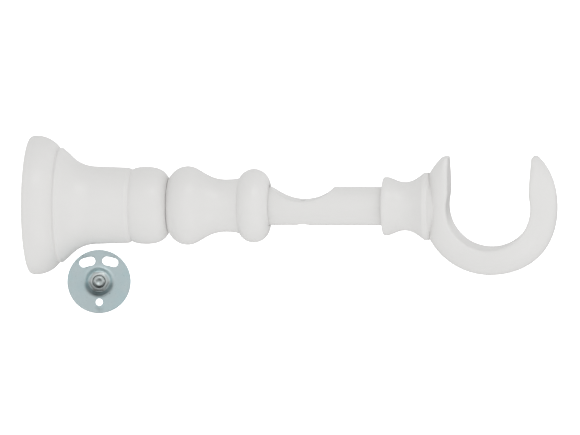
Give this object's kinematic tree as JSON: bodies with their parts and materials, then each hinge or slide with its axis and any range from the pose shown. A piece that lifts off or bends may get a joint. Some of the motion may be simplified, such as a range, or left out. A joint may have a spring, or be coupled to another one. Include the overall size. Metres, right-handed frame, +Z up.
{
  "type": "double curtain rod bracket",
  "caption": "Turned, white-painted wooden wall bracket that holds a front rod in an open ring and a rear rod in a notch on its sliding arm, with a steel wall plate.",
  "frame": {"origin": "centre of the base's wall face", "axes": "+X out from the wall along the bracket, +Z up towards the open side of both rod seats, +Y along the rods"},
  "size_m": [0.2279, 0.06, 0.0768],
  "materials": {
    "painted_wood": "smooth satin white lacquer over turned hardwood",
    "beech": "bare beech pin",
    "zinc": "blue-bright zinc-plated steel",
    "steel": "plain bright steel",
    "brass": "machined brass"
  },
  "bodies": {
    "base": {"base": "painted_wood", "base_insert": "zinc", "joint_screw": "steel"},
    "stem": {"spindle": "painted_wood", "clamp_insert": "brass"},
    "clamp": {"clamp_screw": "steel"},
    "arm": {"arm_dowel": "painted_wood", "ferrule": "painted_wood", "head_pin": "beech", "ring": "painted_wood"},
    "plate": {"wall_plate": "zinc", "plate_stud": "zinc"},
    "nut": {"plate_nut": "zinc"}
  },
  "joints": [
    {"name": "spindle_turn", "type": "hinge", "parent": "base", "child": "stem", "pos_m": [0.0599, 0, 0], "axis": [1, 0, 0], "continuous": true},
    {"name": "arm_slide", "type": "slide", "parent": "stem", "child": "arm", "axis": [1, 0, 0], "range_m": [0, 0.012]},
    {"name": "clamp_travel", "type": "slide", "parent": "stem", "child": "clamp", "axis": [0, 0, -1], "range_m": [0, 0.002]},
    {"name": "plate_apart", "type": "slide", "parent": "base", "child": "plate", "axis": [0.1503, -0.9821, 0.1132], "range_m": [0, 0.06]},
    {"name": "nut_turn", "type": "hinge", "parent": "plate", "child": "nut", "pos_m": [0.02907, 0, -0.03312], "axis": [0.1503, -0.9821, 0.1132], "continuous": true}
  ]
}
